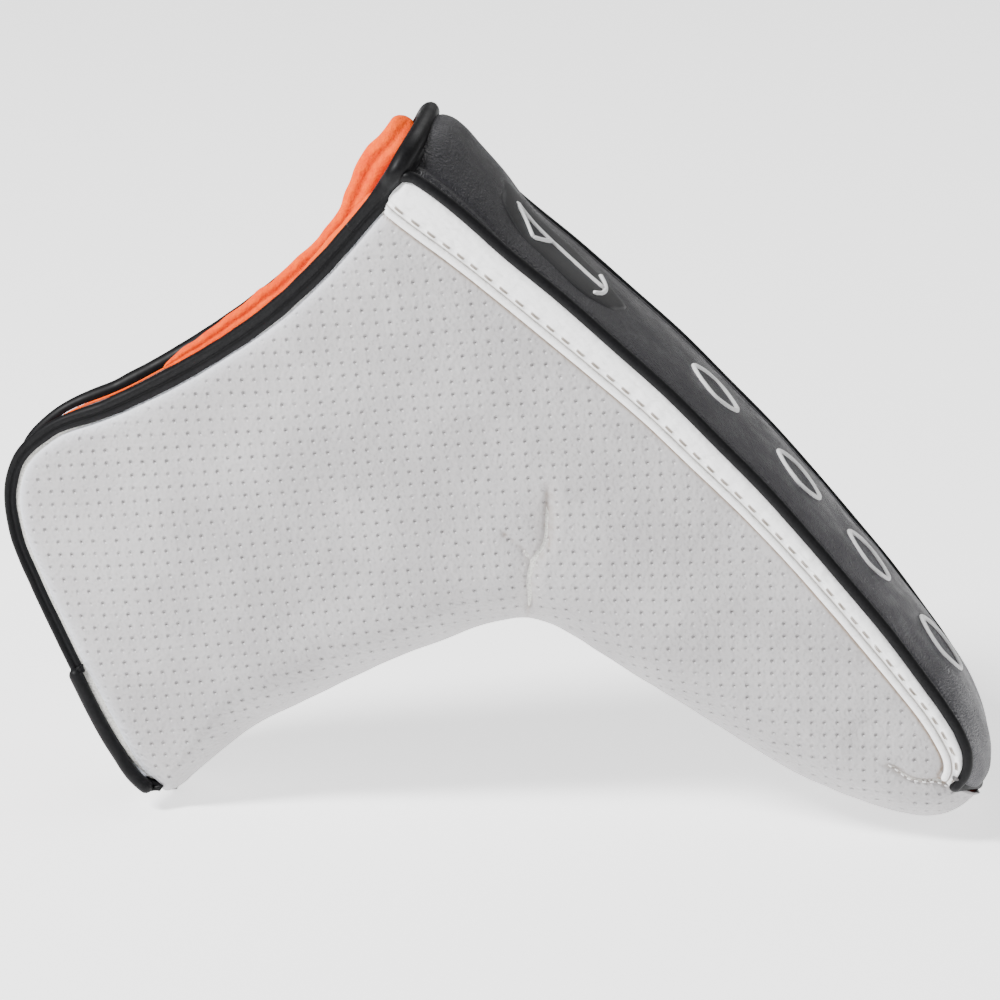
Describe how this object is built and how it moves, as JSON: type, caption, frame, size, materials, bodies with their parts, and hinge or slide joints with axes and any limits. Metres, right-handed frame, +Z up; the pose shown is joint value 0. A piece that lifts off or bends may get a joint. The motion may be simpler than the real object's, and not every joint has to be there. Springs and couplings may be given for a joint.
{
  "type": "putter head cover",
  "caption": "L-shaped sleeve of padded leather-like sheet with a fleece lining, a raised spine band and two hinged mouth flaps, that slips over a blade putter's head.",
  "frame": {"origin": "on the floor under the middle of the cover as it stands on its neck end and toe", "axes": "+X from the neck end to the toe, +Y through the thickness from the front side to the back, +Z up"},
  "size_m": [0.1994, 0.0482, 0.142],
  "materials": {
    "white_perforated": "perforated, soft satin",
    "white_smooth": "fine grain, satin",
    "black_leather": "fine grain, satin",
    "black_gloss": "smooth, glossy",
    "orange_fleece": "brushed fleece pile",
    "foam": "open cell foam, matte",
    "cord": "extruded filler cord",
    "white_thread": "lustrous embroidery thread",
    "black_thread": "satin stitch",
    "closure_tape": "hook and loop tape"
  },
  "bodies": {
    "root": {"front_side_panel": "white_perforated", "front_trim_strip": "white_smooth", "front_trim_welt": "white_smooth", "front_band_piping": "black_gloss", "front_piping_cord": "cord", "front_trim_stitching": "white_thread", "front_side_foam": "foam", "front_side_lining": "orange_fleece", "front_dart_stitching": "white_thread", "back_side_panel": "white_perforated", "back_trim_strip": "white_smooth", "back_trim_welt": "white_smooth", "back_band_piping": "black_gloss", "back_piping_cord": "cord", "back_trim_stitching": "white_thread", "back_side_foam": "foam", "back_side_lining": "orange_fleece", "back_dart_stitching": "white_thread", "spine_band": "black_leather", "spine_foam": "foam", "spine_lining": "orange_fleece", "emblem_backing": "black_thread", "emblem_flag": "white_thread", "spine_marks": "white_thread", "heel_binding": "black_gloss", "neck_gusset": "black_leather"},
    "front_flap": {"front_flap_panel": "white_perforated", "front_flap_foam": "foam", "front_flap_lining": "orange_fleece", "front_flap_binding": "black_gloss", "loop_tape": "closure_tape"},
    "back_flap": {"back_flap_panel": "white_perforated", "back_flap_foam": "foam", "back_flap_lining": "orange_fleece", "back_flap_binding": "black_gloss", "hook_tape": "closure_tape"}
  },
  "joints": [
    {"name": "front_flap_bend", "type": "hinge", "parent": "root", "child": "front_flap", "pos_m": [-0.053, -0.01717, 0.075], "axis": [0.5494, -0.0661, 0.8329], "range_deg": [-3, 40], "stiffness_Nm_per_rad": 0.12},
    {"name": "back_flap_bend", "type": "hinge", "parent": "root", "child": "back_flap", "pos_m": [-0.053, 0.01717, 0.075], "axis": [-0.5494, -0.0661, -0.8329], "range_deg": [-3, 40], "stiffness_Nm_per_rad": 0.12}
  ]
}
